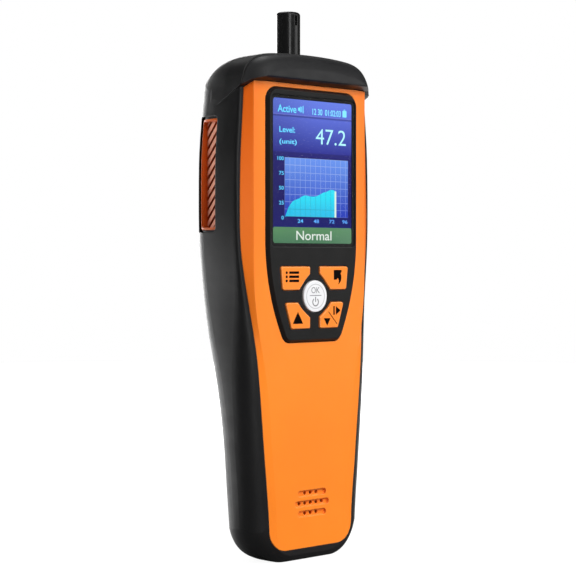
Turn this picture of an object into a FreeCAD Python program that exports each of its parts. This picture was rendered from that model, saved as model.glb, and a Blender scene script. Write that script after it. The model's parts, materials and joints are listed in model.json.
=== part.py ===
import FreeCAD, Part
import math
import os

# Handheld air quality monitor. Millimetres, +Z up, front faces -Y.
# All shapes are first drawn with Y = 0 on the face of the display and Z = 0 on the foot,
# then shifted by Y_MID so that the origin is the centre of the footprint box.

os.makedirs("parts", exist_ok=True)
V = FreeCAD.Vector

# ---------------------------------------------------------------- driving dimensions
Y_MID = 16.051           # middle of the overall depth, measured from the display face
WALL = 2.2               # wall of the rear shell
COVER_T = 2.0            # wall of the front cover
GAP = 0.12               # parting gap between mouldings
SIDE_CROWN = 0.11        # slope of the crowned sides where they meet the corners
SEAM_WALL = 0.5          # edge of the cover that sits below the seam line

DISP_W, DISP_H = 43.2, 57.6          # lit area of the 2.8 inch display
DISP_Z0 = 128.3                      # lower edge of the lit area
PANEL_W = 24.86                      # half width of the black panel at its foot
PANEL_Z1, PANEL_Z0 = 190.3, 88.3     # top and bottom of the black panel
PANEL_FRONT, PANEL_FOOT, PANEL_BACK = -0.35, 1.2, 2.1
LCD_FRONT = 0.40                     # lit face of the display, behind the window
KEY_FRONT = -0.95                    # face of the orange keys
KEY_GAP = 0.30                       # gap round each key
KEY_TRAVEL = 0.6

TUBE_R, TUBE_BORE, TUBE_Y = 5.0, 3.4, 15.6
TUBE_TOP = 223.2
TUBE_FREE = 205.0          # height from which the tube stands clear of the housing
TUBE_SEAT = 4.6            # radius of the stepped-down part that is pressed into the housing

VENT_Y0, VENT_Y1 = 17.5, 31.4        # side vent window
VENT_Z0, VENT_Z1 = 132.6, 179.1
VENT_SINK = 1.5                      # depth of the recess round the louvre
VENT_BACK, VENT_ENDS = 1.05, 0.85    # width of that recess at the back and at both ends
SLAT_ANGLE, SLAT_PITCH, SLAT_W, SLAT_T = 48.0, 4.05, 1.62, 0.8

# z, half width of seam, depth of seam, half width of body, depth at which it is widest,
# depth of back, radius of rear corner
STATIONS = [
    (-2.0, 22.3, 1.50, 30.6, 10.5, 25.0, 11.5),
    (20.0, 22.88, 1.50, 30.8, 10.5, 25.3, 11.5),
    (36.0, 24.39, 1.50, 32.1, 10.5, 25.3, 11.5),
    (52.0, 25.86, 1.50, 33.3, 10.5, 25.6, 11.5),
    (68.0, 27.29, 1.50, 34.3, 10.5, 27.2, 11.5),
    (84.0, 28.80, 1.95, 34.75, 10.0, 30.6, 11.3),
    (98.0, 30.50, 3.15, 34.75, 8.8, 33.7, 10.6),
    (112.0, 32.64, 4.24, 35.3, 7.8, 35.0, 9.9),
    (124.0, 34.24, 4.81, 36.2, 7.3, 35.2, 9.5),
    (140.0, 34.87, 5.01, 36.75, 7.2, 35.3, 9.5),
    (156.0, 34.61, 5.08, 36.7, 7.2, 35.3, 9.5),
    (172.0, 33.92, 5.05, 36.0, 7.2, 35.15, 9.5),
    (184.0, 33.03, 5.15, 35.1, 7.2, 34.6, 9.5),
    (194.0, 32.50, 5.20, 34.6, 7.2, 33.4, 9.5),
    (208.0, 32.20, 5.20, 34.3, 7.2, 32.6, 9.5),
]


# ---------------------------------------------------------------- small helpers
def box(x0, x1, y0, y1, z0, z1):
    return Part.makeBox(x1 - x0, y1 - y0, z1 - z0, V(x0, y0, z0))


def cyl(r, p, d, h):
    return Part.makeCylinder(r, h, V(*p), V(*d))


def prism_y(pts, y0, y1):
    """Closed XZ outline extruded along Y."""
    w = Part.makePolygon([V(x, y0, z) for x, z in pts] + [V(pts[0][0], y0, pts[0][1])])
    return Part.Face(w).extrude(V(0, y1 - y0, 0))


def prism_x(pts, x0, x1):
    """Closed YZ outline extruded along X."""
    w = Part.makePolygon([V(x0, y, z) for y, z in pts] + [V(x0, pts[0][0], pts[0][1])])
    return Part.Face(w).extrude(V(x1 - x0, 0, 0))


def prism_z(pts, z0, z1):
    """Closed XY outline extruded along Z."""
    w = Part.makePolygon([V(x, y, z0) for x, y in pts] + [V(pts[0][0], pts[0][1], z0)])
    return Part.Face(w).extrude(V(0, 0, z1 - z0))


def rounded_wire(pts, radii, y):
    """Closed XZ outline at depth y with a radius at each corner."""
    n = len(pts)
    edges = []
    ends = []
    for i in range(n):
        p = V(pts[i][0], y, pts[i][1])
        a = V(pts[i - 1][0], y, pts[i - 1][1])
        b = V(pts[(i + 1) % n][0], y, pts[(i + 1) % n][1])
        da, db = (a - p).normalize(), (b - p).normalize()
        r = radii[i] if isinstance(radii, (list, tuple)) else radii
        ang = da.getAngle(db)
        t = r / math.tan(ang / 2.0)
        p1, p2 = p + da * t, p + db * t
        c = p + (da + db).normalize() * (r / math.sin(ang / 2.0))
        m = c + (p - c).normalize() * r
        ends.append((p1, p2, m))
    for i in range(n):
        p1, p2, m = ends[i]
        edges.append(Part.Arc(p1, m, p2).toShape())
        q = ends[(i + 1) % n][0]
        if (q - p2).Length > 1e-6:
            edges.append(Part.LineSegment(p2, q).toShape())
    return Part.Wire(edges)


def slab_y(pts, radii, y0, y1):
    return Part.Face(rounded_wire(pts, radii, y0)).extrude(V(0, y1 - y0, 0))


def rect(x0, x1, z0, z1):
    return [(x0, z0), (x1, z0), (x1, z1), (x0, z1)]


def pill_y(cx, cz, w, h, y0, y1):
    return slab_y(rect(cx - w / 2, cx + w / 2, cz - h / 2, cz + h / 2), h / 2 - 0.001, y0, y1)


def bez(p0, p1, p2, p3):
    c = Part.BezierCurve()
    c.setPoles([V(*p0), V(*p1), V(*p2), V(*p3)])
    return c.toShape()


def line(a, b):
    return Part.LineSegment(V(*a), V(*b)).toShape()


def smooth(x, a, b):
    t = min(1.0, max(0.0, (x - a) / (b - a)))
    return t * t * (3 - 2 * t)


def lerp_station(z):
    st = STATIONS
    for a, b in zip(st, st[1:]):
        if a[0] <= z <= b[0]:
            t = (z - a[0]) / (b[0] - a[0])
            return tuple(p + (q - p) * t for p, q in zip(a, b))
    return st[0] if z < st[0][0] else st[-1]


K = 0.5523


def body_section(st, inset=0.0):
    """Closed section of the body at one height, inset inward by a wall."""
    z, s, ys, w, yw, yb, rr = st
    g = smooth(z, 80.0, 122.0)
    w, yb, rr = w - inset, yb - inset, max(rr - inset, 3.0)
    if inset:
        s = s - 0.9
        y0 = -3.0
        ys = ys + inset * (1.0 - 0.35 * g)
    a = (0.45 * (1 - g) + 0.72 * g) * (w - s)
    b = (0.10 * (1 - g) + 0.05 * g) * (yw - ys)
    c = (0.42 * (1 - g) + 0.35 * g) * (yw - ys)
    ya = yb - rr
    crown = 0.9
    e = []
    if inset:
        e.append(line((-s, y0, z), (s, y0, z)))
        e.append(line((s, y0, z), (s, ys, z)))
        yw = max(yw, ys + 1.5)
        b, c = 0.08 * (yw - ys), 0.4 * (yw - ys)
        a = 0.6 * (w - s)
    else:
        e.append(line((-s, ys, z), (s, ys, z)))
    q = SIDE_CROWN
    h = (ya - yw) / 3.0
    lead, tail = q * (yw - ys - c), q * K * rr
    e.append(bez((s, ys, z), (s + a, ys + b, z), (w - lead, ys + c, z), (w, yw, z)))
    e.append(bez((w, yw, z), (w + q * h, yw + h, z), (w + q * h, ya - h, z), (w, ya, z)))
    xc = w - rr
    e.append(bez((w, ya, z), (w - tail, ya + K * rr, z), (xc + K * rr, yb - crown, z), (xc, yb - crown * 0.75, z)))
    e.append(bez((xc, yb - crown * 0.75, z), (xc * 0.5, yb, z), (-xc * 0.5, yb, z), (-xc, yb - crown * 0.75, z)))
    e.append(bez((-xc, yb - crown * 0.75, z), (-xc - K * rr, yb - crown, z), (-w + tail, ya + K * rr, z), (-w, ya, z)))
    e.append(bez((-w, ya, z), (-w - q * h, ya - h, z), (-w - q * h, yw + h, z), (-w, yw, z)))
    e.append(bez((-w, yw, z), (-w + lead, ys + c, z), (-s - a, ys + b, z), (-s, ys, z)))
    if inset:
        e.append(line((-s, ys, z), (-s, y0, z)))
    return Part.Wire(e)


def body_loft(inset=0.0):
    return Part.makeLoft([body_section(st, inset) for st in STATIONS], True, False)


def bspline_through(pts):
    c = Part.BSplineCurve()
    c.interpolate([V(*p) for p in pts])
    return c.toShape()


def profile_y(segs, y0, y1, z_far):
    """Symmetric XZ outline: right half given as Bezier or line pole lists from the centre out."""
    right = []
    for s in segs:
        p = [(x, y0, z) for x, z in s]
        right.append(bez(*p) if len(p) == 4 else line(*p))
    left = []
    for s in segs:
        p = [(-x, y0, z) for x, z in s]
        left.append(bez(*p) if len(p) == 4 else line(*p))
    x, z = segs[-1][-1]
    close = [line((x, y0, z), (x, y0, z_far)), line((x, y0, z_far), (-x, y0, z_far)), line((-x, y0, z_far), (-x, y0, z))]
    w = Part.Wire(Part.__sortEdges__(right + left + close))
    return Part.Face(w).extrude(V(0, y1 - y0, 0))


def profile_x(segs, tail, x0=-60, x1=60):
    """YZ outline: chain of Bezier or line pole lists, closed through the tail points, extruded along X."""
    e = []
    for s in segs:
        p = [(x0, y, z) for y, z in s]
        e.append(bez(*p) if len(p) == 4 else line(*p))
    pts = [segs[-1][-1]] + tail + [segs[0][0]]
    for p, q in zip(pts, pts[1:]):
        e.append(line((x0, p[0], p[1]), (x0, q[0], q[1])))
    return Part.Face(Part.Wire(e)).extrude(V(x1 - x0, 0, 0))


def profile_z(segs, z0, z1):
    """Closed XY outline of Bezier or line pole lists extruded along Z."""
    e = []
    for s in segs:
        p = [(x, y, z0) for x, y in s]
        e.append(bez(*p) if len(p) == 4 else line(*p))
    return Part.Face(Part.Wire(e)).extrude(V(0, 0, z1 - z0))


# ---------------------------------------------------------------- outlines
# outline of the orange cover seen from the front, right half from the bottom up
def cover_outline(grow, y):
    zs = [13.6, 20, 28, 36, 44, 52, 60, 68, 76, 84, 91, 98, 105, 112, 118, 124, 132, 140, 148, 156, 164, 172, 178, 184, 190, 195]
    right = [(seam_smooth(z) + grow, y, z) for z in zs]
    left = [(-x, yy, z) for x, yy, z in reversed(right)]
    x0 = right[0][0]
    r = 8.6 + grow
    zb = 5.0 - grow
    k = 1 - math.sqrt(0.5)
    e = [bspline_through(right),
         line(right[-1], left[0]),
         bspline_through(left),
         Part.Arc(V(*left[-1]), V(-x0 + k * r, y, zb + k * r), V(-x0 + r, y, zb)).toShape(),
         line((-x0 + r, y, zb), (x0 - r, y, zb)),
         Part.Arc(V(x0 - r, y, zb), V(x0 - k * r, y, zb + k * r), V(*right[0])).toShape()]
    return Part.Wire(e)


def spline_table(col):
    """Natural cubic spline through one column of the stations."""
    xs = [st[0] for st in STATIONS]
    ys = [st[col] for st in STATIONS]
    n = len(xs)
    h = [xs[i + 1] - xs[i] for i in range(n - 1)]
    al = [0.0] * n
    for i in range(1, n - 1):
        al[i] = 3 * (ys[i + 1] - ys[i]) / h[i] - 3 * (ys[i] - ys[i - 1]) / h[i - 1]
    l, mu, zz = [1.0] * n, [0.0] * n, [0.0] * n
    for i in range(1, n - 1):
        l[i] = 2 * (xs[i + 1] - xs[i - 1]) - h[i - 1] * mu[i - 1]
        mu[i] = h[i] / l[i]
        zz[i] = (al[i] - h[i - 1] * zz[i - 1]) / l[i]
    c = [0.0] * n
    b = [0.0] * n
    d = [0.0] * n
    for j in range(n - 2, -1, -1):
        c[j] = zz[j] - mu[j] * c[j + 1]
        b[j] = (ys[j + 1] - ys[j]) / h[j] - h[j] * (c[j + 1] + 2 * c[j]) / 3
        d[j] = (c[j + 1] - c[j]) / (3 * h[j])

    def f(x):
        j = 0
        while j < n - 2 and x > xs[j + 1]:
            j += 1
        t = x - xs[j]
        return ys[j] + b[j] * t + c[j] * t * t + d[j] * t ** 3
    return f


seam_smooth = spline_table(1)
ysmooth = spline_table(2)


def split_body(grow, shift, front):
    """Block in front of the ledge, from front to the ledge shifted by shift."""
    zs = [0, 20, 40, 60, 76, 84, 91, 98, 105, 112, 118, 124, 140, 156, 172, 184, 196]
    pts = [(ledge(z) + shift, z) for z in zs]
    c = bspline_through([(-60, y, z) for y, z in pts])
    e = [c, line((-60, pts[-1][0], 196), (-60, front, 196)), line((-60, front, 196), (-60, front, 0)),
         line((-60, front, 0), (-60, pts[0][0], 0))]
    b = Part.Face(Part.Wire(e)).extrude(V(120, 0, 0))
    o = Part.Face(cover_outline(grow, -6)).extrude(V(0, 16, 0))
    return b.common(o)


def ledge(z):
    a, b = ysmooth(z) + SEAM_WALL, 3.45
    k = 0.5
    h = max(0.0, min(1.0, 0.5 + 0.5 * (a - b) / k))
    return b * (1 - h) + a * h + k * h * (1 - h)


def under_visor(shift, y0=-6.0, y1=9.0):
    """Everything below the underside of the visor."""
    pts = [(y0, 195.1 + shift), (-2.9, 193.75 + shift), (1.3, 192.3 + shift), (3.7, 190.7 + shift), (y1, 187.2 + shift), (y1, -10), (y0, -10)]
    return prism_x(pts, -60, 60)


# ---------------------------------------------------------------- rear shell


def head_block(inset):
    w = 35.45 - inset
    yb = 33.6 - inset
    e = [line((-(w - 0.9), 3.75, 180), (w - 0.9, 3.75, 180)),
         bez((w - 0.9, 3.75, 180), (w - 0.3, 3.8, 180), (w, 4.6, 180), (w, 6.0, 180)),
         bez((w, 6.0, 180), (w + 0.35, 10, 180), (w + 0.55, 14.5, 180), (w - 0.1, 22.5, 180)),
         line((w - 0.1, 22.5, 180), (-(w - 0.1), 22.5, 180)),
         bez((-(w - 0.1), 22.5, 180), (-(w + 0.55), 14.5, 180), (-(w + 0.35), 10, 180), (-w, 6.0, 180)),
         bez((-w, 6.0, 180), (-w, 4.6, 180), (-(w - 0.3), 3.8, 180), (-(w - 0.9), 3.75, 180))]
    b = Part.Face(Part.Wire(e)).extrude(V(0, 0, 28))
    low = prism_x([(3.0, 190.9), (23.0, 180.7), (23.0, 170), (3.0, 170)], -60, 60)
    return b.cut(low)



def y_section(segs, y, z_far):
    """Symmetric XZ wire at depth y from right-half pole lists."""
    def chain(sign):
        out = []
        for s in segs:
            p = [(sign * x, y, z) for x, z in s]
            out.append(p)
        return out
    e = []
    for p in reversed(chain(-1)):
        q = list(reversed(p))
        e.append(bez(*q) if len(q) == 4 else line(*q))
    for p in chain(1):
        e.append(bez(*p) if len(p) == 4 else line(*p))
    x, z = segs[-1][-1]
    e.append(line((x, y, z), (x, y, z_far)))
    e.append(line((x, y, z_far), (-x, y, z_far)))
    e.append(line((-x, y, z_far), (-x, y, z)))
    return Part.Wire(e)


def head_segs(dz, dc, t=0.0):
    k = 1.0 - t / 35.0
    return [[(0, 204.6 - dz - t), ((8 - 0.2 * dc) * k, 204.6 - dz - t), ((15 - 0.6 * dc) * k, 204.35 - dz - t), ((21.5 - dc) * k, 203.6 - dz - 0.02 * dc - t)],
            [((21.5 - dc) * k, 203.6 - dz - 0.02 * dc - t), ((30.9 - 0.75 * dc) * k, 202.5 - dz - 0.2 * dc - t), ((35.0 - 0.3 * dc) * k, 198.2 - 0.9 * dz - 0.5 * dc - t), ((35.4 - 0.12 * dc) * k, 188.0 - 0.75 * dz - 0.7 * dc - t)],
            [((35.4 - 0.12 * dc) * k, 188.0 - 0.75 * dz - 0.7 * dc - t), (38.6 * k, 160.0)]]


# depth, drop of the top, growth of the corner
HEAD_DOME = [(14.0, 0.0, 0.0), (20.0, 0.2, 0.7), (25.0, 0.9, 1.7), (29.0, 2.1, 3.2), (32.0, 4.4, 4.9), (34.0, 8.2, 6.4), (35.6, 12.7, 8.0)]
# depth, height of the flat of the foot, half width of that flat
FOOT_DOME = [(0.9, 3.1, 10.0), (1.6, 1.9, 10.4), (2.4, 0.9, 11.0), (3.4, 0.1, 11.5), (4.6, -0.3, 12.0), (6.2, -0.4, 12.0), (8.2, -0.4, 12.0),
             (10.5, -0.4, 12.0), (14.0, -0.4, 11.8), (17.0, -0.4, 11.0), (19.4, -0.25, 10.2), (21.4, 0.75, 9.6), (23.0, 2.4, 9.2), (24.3, 4.9, 8.4), (25.7, 10.7, 7.0)]


def foot_half_width(y):
    """Half width of the body just above the foot, at one depth."""
    z, s, ys, w, yw, yb, rr = STATIONS[1]
    ya = yb - rr
    c = 0.42 * (yw - ys)
    lead, tail = SIDE_CROWN * (yw - ys - c), SIDE_CROWN * K * rr
    h = (ya - yw) / 3.0
    q = SIDE_CROWN * h
    curves = [((s, ys), (s + 0.45 * (w - s), ys + 0.10 * (yw - ys)), (w - lead, ys + c), (w, yw)),
              ((w, yw), (w + q, yw + h), (w + q, ya - h), (w, ya)),
              ((w, ya), (w - tail, ya + K * rr), (w - rr + K * rr, yb - 0.9), (w - rr, yb - 0.675))]
    if y <= ys:
        return s
    for p in curves:
        if y <= p[3][1]:
            lo, hi = 0.0, 1.0
            for i in range(40):
                t = (lo + hi) / 2
                m = 1 - t
                yy = m ** 3 * p[0][1] + 3 * m * m * t * p[1][1] + 3 * m * t * t * p[2][1] + t ** 3 * p[3][1]
                if yy < y:
                    lo = t
                else:
                    hi = t
            return m ** 3 * p[0][0] + 3 * m * m * t * p[1][0] + 3 * m * t * t * p[2][0] + t ** 3 * p[3][0]
    return w - rr


def head_tool(t=0.0):
    fr = profile_y(head_segs(0.0, 0.0, t), -6, 14.0 - t, 150)
    secs = [y_section(head_segs(dz, dc, t), y - t, 150) for y, dz, dc in HEAD_DOME]
    return fr.fuse(Part.makeLoft(secs, True, False))


def foot_tool(t=0.0):
    secs = []
    for y, z, x0 in FOOT_DOME:
        x3 = 31.35 - 5.0 * smooth(y, 14.0, 26.0) if t else foot_half_width(y) + 0.35
        k = 1.0 - 1.05 * t / 31.0
        yy = y + t * (1.0 - 2.0 * (y - 0.9) / 24.8)
        cc = [(x0, z), (x0 + 0.52 * (x3 - x0), z), (x3 - 0.2, z + 0.31 * (20 - z)), (x3, 20.0)]
        cc = [(x * k, zz + t) for x, zz in cc]
        secs.append(y_section([[(0, z + t), cc[0]], cc, [cc[-1], (cc[-1][0] + 0.2, 32.0)]], yy, 60))
    return Part.makeLoft(secs, True, False)


def outer_body():
    b = body_loft().common(box(-60, 60, -10, 60, 0, 207))
    b = b.cut(box(-60, 60, -10, 3.75, 190.9, 210))
    b = b.fuse(head_block(0.0))
    b = b.cut(box(-60, 60, -10, 60, 172.0, 215).cut(head_tool()))
    b = b.cut(box(-60, 60, -10, 60, -5, 19.0).cut(foot_tool()))
    return b


def inner_body():
    t = WALL
    b = body_loft(t).common(box(-60, 60, -10, 60, t, 207))
    b = b.cut(box(-60, 60, -10, 60, 181.5, 215).cut(head_tool(t + 0.2)))
    b = b.cut(box(-60, 60, -10, 60, -5, 19.0).cut(foot_tool(t)))
    return b


NODES = {}


def put(name, shape):
    NODES[name] = shape


outer = outer_body()
inner = inner_body()

# ledge for the cover, the room for the visor cap, and the room behind both
shell = outer.cut(inner)
shell = shell.cut(split_body(GAP, 0.0, -6.0))
shell = shell.cut(box(-60, 60, -10, 3.75, 186.0, 210))

# side windows with a stepped seat for the louvres
def vent_cut(sign, y0, y1, z0, z1, r, x0, x1):
    w = Part.Face(rounded_rect_yz(y0, y1, z0, z1, r, x0 * sign))
    return w.extrude(V((x1 - x0) * sign, 0, 0))


def rounded_rect_yz(y0, y1, z0, z1, r, x):
    k = r * (1 - math.sqrt(0.5))
    e = [line((x, y0 + r, z0), (x, y1 - r, z0)),
         Part.Arc(V(x, y1 - r, z0), V(x, y1 - k, z0 + k), V(x, y1, z0 + r)).toShape(),
         line((x, y1, z0 + r), (x, y1, z1 - r)),
         Part.Arc(V(x, y1, z1 - r), V(x, y1 - k, z1 - k), V(x, y1 - r, z1)).toShape(),
         line((x, y1 - r, z1), (x, y0 + r, z1)),
         Part.Arc(V(x, y0 + r, z1), V(x, y0 + k, z1 - k), V(x, y0, z1 - r)).toShape(),
         line((x, y0, z1 - r), (x, y0, z0 + r)),
         Part.Arc(V(x, y0, z0 + r), V(x, y0 + k, z0 + k), V(x, y0 + r, z0)).toShape()]
    return Part.Wire(e)


def louvre_cut(sign, grow, x0, x1):
    """Block through the inner window, or through the louvre when grow is negative."""
    return vent_cut(sign, VENT_Y0 - grow, VENT_Y1 - VENT_BACK + grow, VENT_Z0 + VENT_ENDS - grow, VENT_Z1 - VENT_ENDS + grow,
                    max(2.5 + grow, 0.7), x0, x1)


sunk = body_loft(VENT_SINK).common(box(-60, 60, -10, 60, 120, 190))
for sg in (-1, 1):
    shell = shell.cut(vent_cut(sg, VENT_Y0, VENT_Y1, VENT_Z0, VENT_Z1, 2.0, 20.0, 50.0).cut(sunk))
    shell = shell.cut(louvre_cut(sg, 0.0, 20.0, 50.0))

# seat of the inlet tube: boss through the top wall
tube_boss = cyl(7.6, (0, TUBE_Y, 196.0), (0, 0, 1), 9.0).common(outer)
shell = shell.fuse(tube_boss)
shell = shell.cut(cyl(TUBE_SEAT + 0.05, (0, TUBE_Y, 190), (0, 0, 1), 30))
shell = shell.cut(cyl(TUBE_SEAT + 1.75, (0, TUBE_Y, 201.2), (0, 0, 1), 10))

# screw wells, open at the back, ending in a washer face near the cover
SCREWS = [(-27.0, 187.0), (27.0, 187.0), (-19.5, 16.0), (19.5, 16.0)]
for sx, sz in SCREWS:
    boss = cyl(3.6, (sx, 6.2, sz), (0, 1, 0), 30).common(outer)
    shell = shell.fuse(boss)
for sx, sz in SCREWS:
    shell = shell.cut(cyl(2.5, (sx, 9.0, sz), (0, 1, 0), 40))
    shell = shell.cut(cyl(1.5, (sx, 0.0, sz), (0, 1, 0), 20))

# mouth of the charging socket in the foot
shell = shell.cut(box(-4.75, 4.75, 11.1, 14.9, -1, 4.0))
put("rear_shell", shell)

# ---------------------------------------------------------------- front cover
def front_surface():
    """Solid behind the front face of the cover: a flat facet, a ridge and a chamfer to the seam."""
    st = []
    for z in (-1.0, 14, 28, 44, 56, 68, 78, 88, 98, 106, 114, 124, 136, 150, 164, 178, 188, 200):
        zz = max(z, 13.6)
        s, ys = seam_smooth(zz), max(ysmooth(zz), 1.45)
        g = smooth(z, 66.0, 124.0)
        dx = 3.7 * (1 - g) + (s - 30.5) * g
        rx = s - dx
        yr = 1.0 * (1 - g) + 1.62 * g
        yf = 0.95 * (1 - g) + 1.2 * g
        xi = rx - 5.5
        slope = (ys - yr) / dx
        w = Part.makePolygon([V(*p) for p in ((-s - 8, ys + slope * 8, z), (-rx, yr, z), (-xi, yf, z), (xi, yf, z), (rx, yr, z),
                                              (s + 8, ys + slope * 8, z), (s + 8, 16, z), (-s - 8, 16, z), (-s - 8, ys + slope * 8, z))])
        st.append(w)
    return Part.makeLoft(st, True, False)


cover = Part.Face(cover_outline(0.0, -6)).extrude(V(0, 16, 0))
face = front_surface()
cover = cover.common(face)
cover = cover.common(split_body(3.0, -0.12, -6.0))
cover = cover.common(under_visor(-0.2))
# hollow behind
hollow = Part.Face(cover_outline(-2.2, -6)).extrude(V(0, 16, 0)).cut(box(-60, 60, -10, 1.2 + COVER_T, -5, 210))
hollow = hollow.common(box(-60, 60, -10, 60, 8.0, 187.6))
behind = face.copy()
behind.translate(V(0, COVER_T + 0.2, 0))
hollow = hollow.common(behind)
cover = cover.cut(hollow)


def panel_outline(inset, y):
    """Shield outline of the black panel."""
    w = PANEL_W - inset
    R = 93.0 - inset
    zc = 130.0
    xc = PANEL_W - 93.0
    z0, z1 = PANEL_Z0 + inset, PANEL_Z1 - inset
    rt = max(5.6 - inset, 0.6)
    rb = max(4.2 - inset, 0.6)
    # lower fillet between side arc (centre xc,zc radius R) and the bottom line
    zf = z0 + rb
    xf = xc + math.sqrt((R - rb) ** 2 - (zc - zf) ** 2)
    ux, uz = (xf - xc) / (R - rb), (zf - zc) / (R - rb)
    px, pz = xc + R * ux, zc + R * uz
    a0 = math.atan2(uz, ux)
    mx, mz = xc + R * math.cos(a0 / 2), zc + R * math.sin(a0 / 2)
    am = (a0 - math.pi / 2) / 2.0
    fx, fz = xf + rb * math.cos(am), zf + rb * math.sin(am)
    k = rt * (1 - math.sqrt(0.5))
    e = [line((-xf, y, z0), (xf, y, z0)),
         Part.Arc(V(xf, y, z0), V(fx, y, fz), V(px, y, pz)).toShape(),
         Part.Arc(V(px, y, pz), V(mx, y, mz), V(w, y, zc)).toShape(),
         line((w, y, zc), (w, y, z1 - rt)),
         Part.Arc(V(w, y, z1 - rt), V(w - k, y, z1 - k), V(w - rt, y, z1)).toShape(),
         line((w - rt, y, z1), (-w + rt, y, z1)),
         Part.Arc(V(-w + rt, y, z1), V(-w + k, y, z1 - k), V(-w, y, z1 - rt)).toShape(),
         line((-w, y, z1 - rt), (-w, y, zc)),
         Part.Arc(V(-w, y, zc), V(-mx, y, mz), V(-px, y, pz)).toShape(),
         Part.Arc(V(-px, y, pz), V(-fx, y, fz), V(-xf, y, z0)).toShape()]
    return Part.Wire(e)


def panel_slab(inset, y0, y1):
    return Part.Face(panel_outline(inset, y0)).extrude(V(0, y1 - y0, 0))


cover = cover.cut(panel_slab(-0.18, -6, PANEL_BACK))
cover = cover.cut(panel_slab(1.7, -6, 12))
cover = cover.cut(box(-23.4, 23.4, -6, 4.0, 126.2, 188.4))

# speaker slots: three shallow pills with holes
SLOT_Z, SLOT_PITCH = 22.9, 4.1
for i, (n, w) in enumerate(((3, 15.5), (5, 18.7), (3, 15.5))):
    z = SLOT_Z + (1 - i) * SLOT_PITCH
    cover = cover.cut(pill_y(0, z, w, 2.5, -2, 2.0))
    for k in range(n):
        cover = cover.cut(cyl(0.78, ((k - (n - 1) / 2.0) * 3.1, -2, z), (0, 1, 0), 8))

# bosses for the housing screws and for the board screws
for sx, sz in SCREWS:
    b = cyl(2.9, (sx, 2.4, sz), (0, 1, 0), 3.7)
    b = b.common(Part.Face(cover_outline(-1.3, -6)).extrude(V(0, 16, 0)))
    cover = cover.fuse(b)
for sx, sz in SCREWS:
    cover = cover.cut(cyl(1.05, (sx, 2.6, sz), (0, 1, 0), 6))
BOARD_SCREWS = [(-25.0, 118.0), (25.0, 118.0), (-19.5, 45.0), (19.5, 45.0)]
PCB_Y = 6.1
for sx, sz in BOARD_SCREWS:
    cover = cover.fuse(cyl(2.3, (sx, 2.4, sz), (0, 1, 0), PCB_Y - 2.4))
for sx, sz in BOARD_SCREWS:
    cover = cover.cut(cyl(0.85, (sx, 2.7, sz), (0, 1, 0), 8))
put("front_cover", cover)

# ---------------------------------------------------------------- visor cap
# depth, side inset, drop of the top edge
CAP_DOME = [(3.6, 0.0, 0.0), (1.8, 1.7, 0.25), (0.2, 3.15, 0.8), (-1.2, 4.6, 1.9), (-2.2, 5.8, 3.4), (-2.8, 6.7, 4.9), (-3.05, 7.5, 6.0)]


def cap_section(y, dx, dz, t=0.0):
    k = (35.0 - dx - t) / 35.0
    zt = 203.85 - dz - t
    c = 21.5 * k - 0.25 * dx
    return y_section([[(0, zt), (8 * k, zt), (15 * k, zt - 0.3), (c, zt - 1.1)],
                      [(c, zt - 1.1), (29.8 * k, zt - 2.0 + 0.1 * dz), (32.8 * k, zt - 5.5 + 0.35 * dz), (34.25 * k, 193.4)],
                      [(34.25 * k, 193.4), (36.6 * k, 185.0)]], y, 150)


cap = Part.makeLoft([cap_section(*c) for c in CAP_DOME], True, False)
keep = profile_x([[(3.6, 215), (-6, 215)], [(-6, 215), (-6, 193.95)], [(-6, 193.95), (-2.9, 193.85)],
                  [(-2.9, 193.85), (-2.5, 193.45)], [(-2.5, 193.45), (1.3, 192.25)], [(1.3, 192.25), (3.6, 190.6)]], [])
cap = cap.common(keep)
cav = Part.makeLoft([cap_section(y, dx, dz, 2.1) for y, dx, dz in ((3.7, 0.0, 0.0), (1.8, 1.7, 0.25), (0.2, 3.15, 0.8), (-0.7, 4.6, 1.9))], True, False)
cav = cav.common(box(-60, 60, -0.7, 3.7, 195.2, 210))
cap = cap.cut(cav)
# two snap tongues that reach into the shell
for sx in (-16.0, 16.0):
    cap = cap.fuse(box(sx - 4, sx + 4, 1.0, 9.0, 199.8, 201.2))
put("top_cap", cap)

# ---------------------------------------------------------------- black panel
panel = Part.makeLoft([panel_outline(0.0, PANEL_FOOT), panel_outline(1.15, PANEL_FRONT)], True, True)
panel = panel.fuse(panel_slab(0.0, PANEL_FOOT, PANEL_BACK)).removeSplitter()
# window seat, ledge round the lit area, and the pocket of the display behind it
WX, WZ0, WZ1 = DISP_W / 2.0, DISP_Z0, DISP_Z0 + DISP_H
panel = panel.cut(slab_y(rect(-WX - 1.5, WX + 1.5, WZ0 - 1.6, WZ1 + 1.5), 1.8, -2, 0.15))
panel = panel.cut(slab_y(rect(-WX - 0.2, WX + 0.2, WZ0 - 0.2, WZ1 + 0.2), 1.6, -2, 4))
panel = panel.cut(box(-23.4, 23.4, 0.42, 4, 126.2, 188.4))


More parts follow.
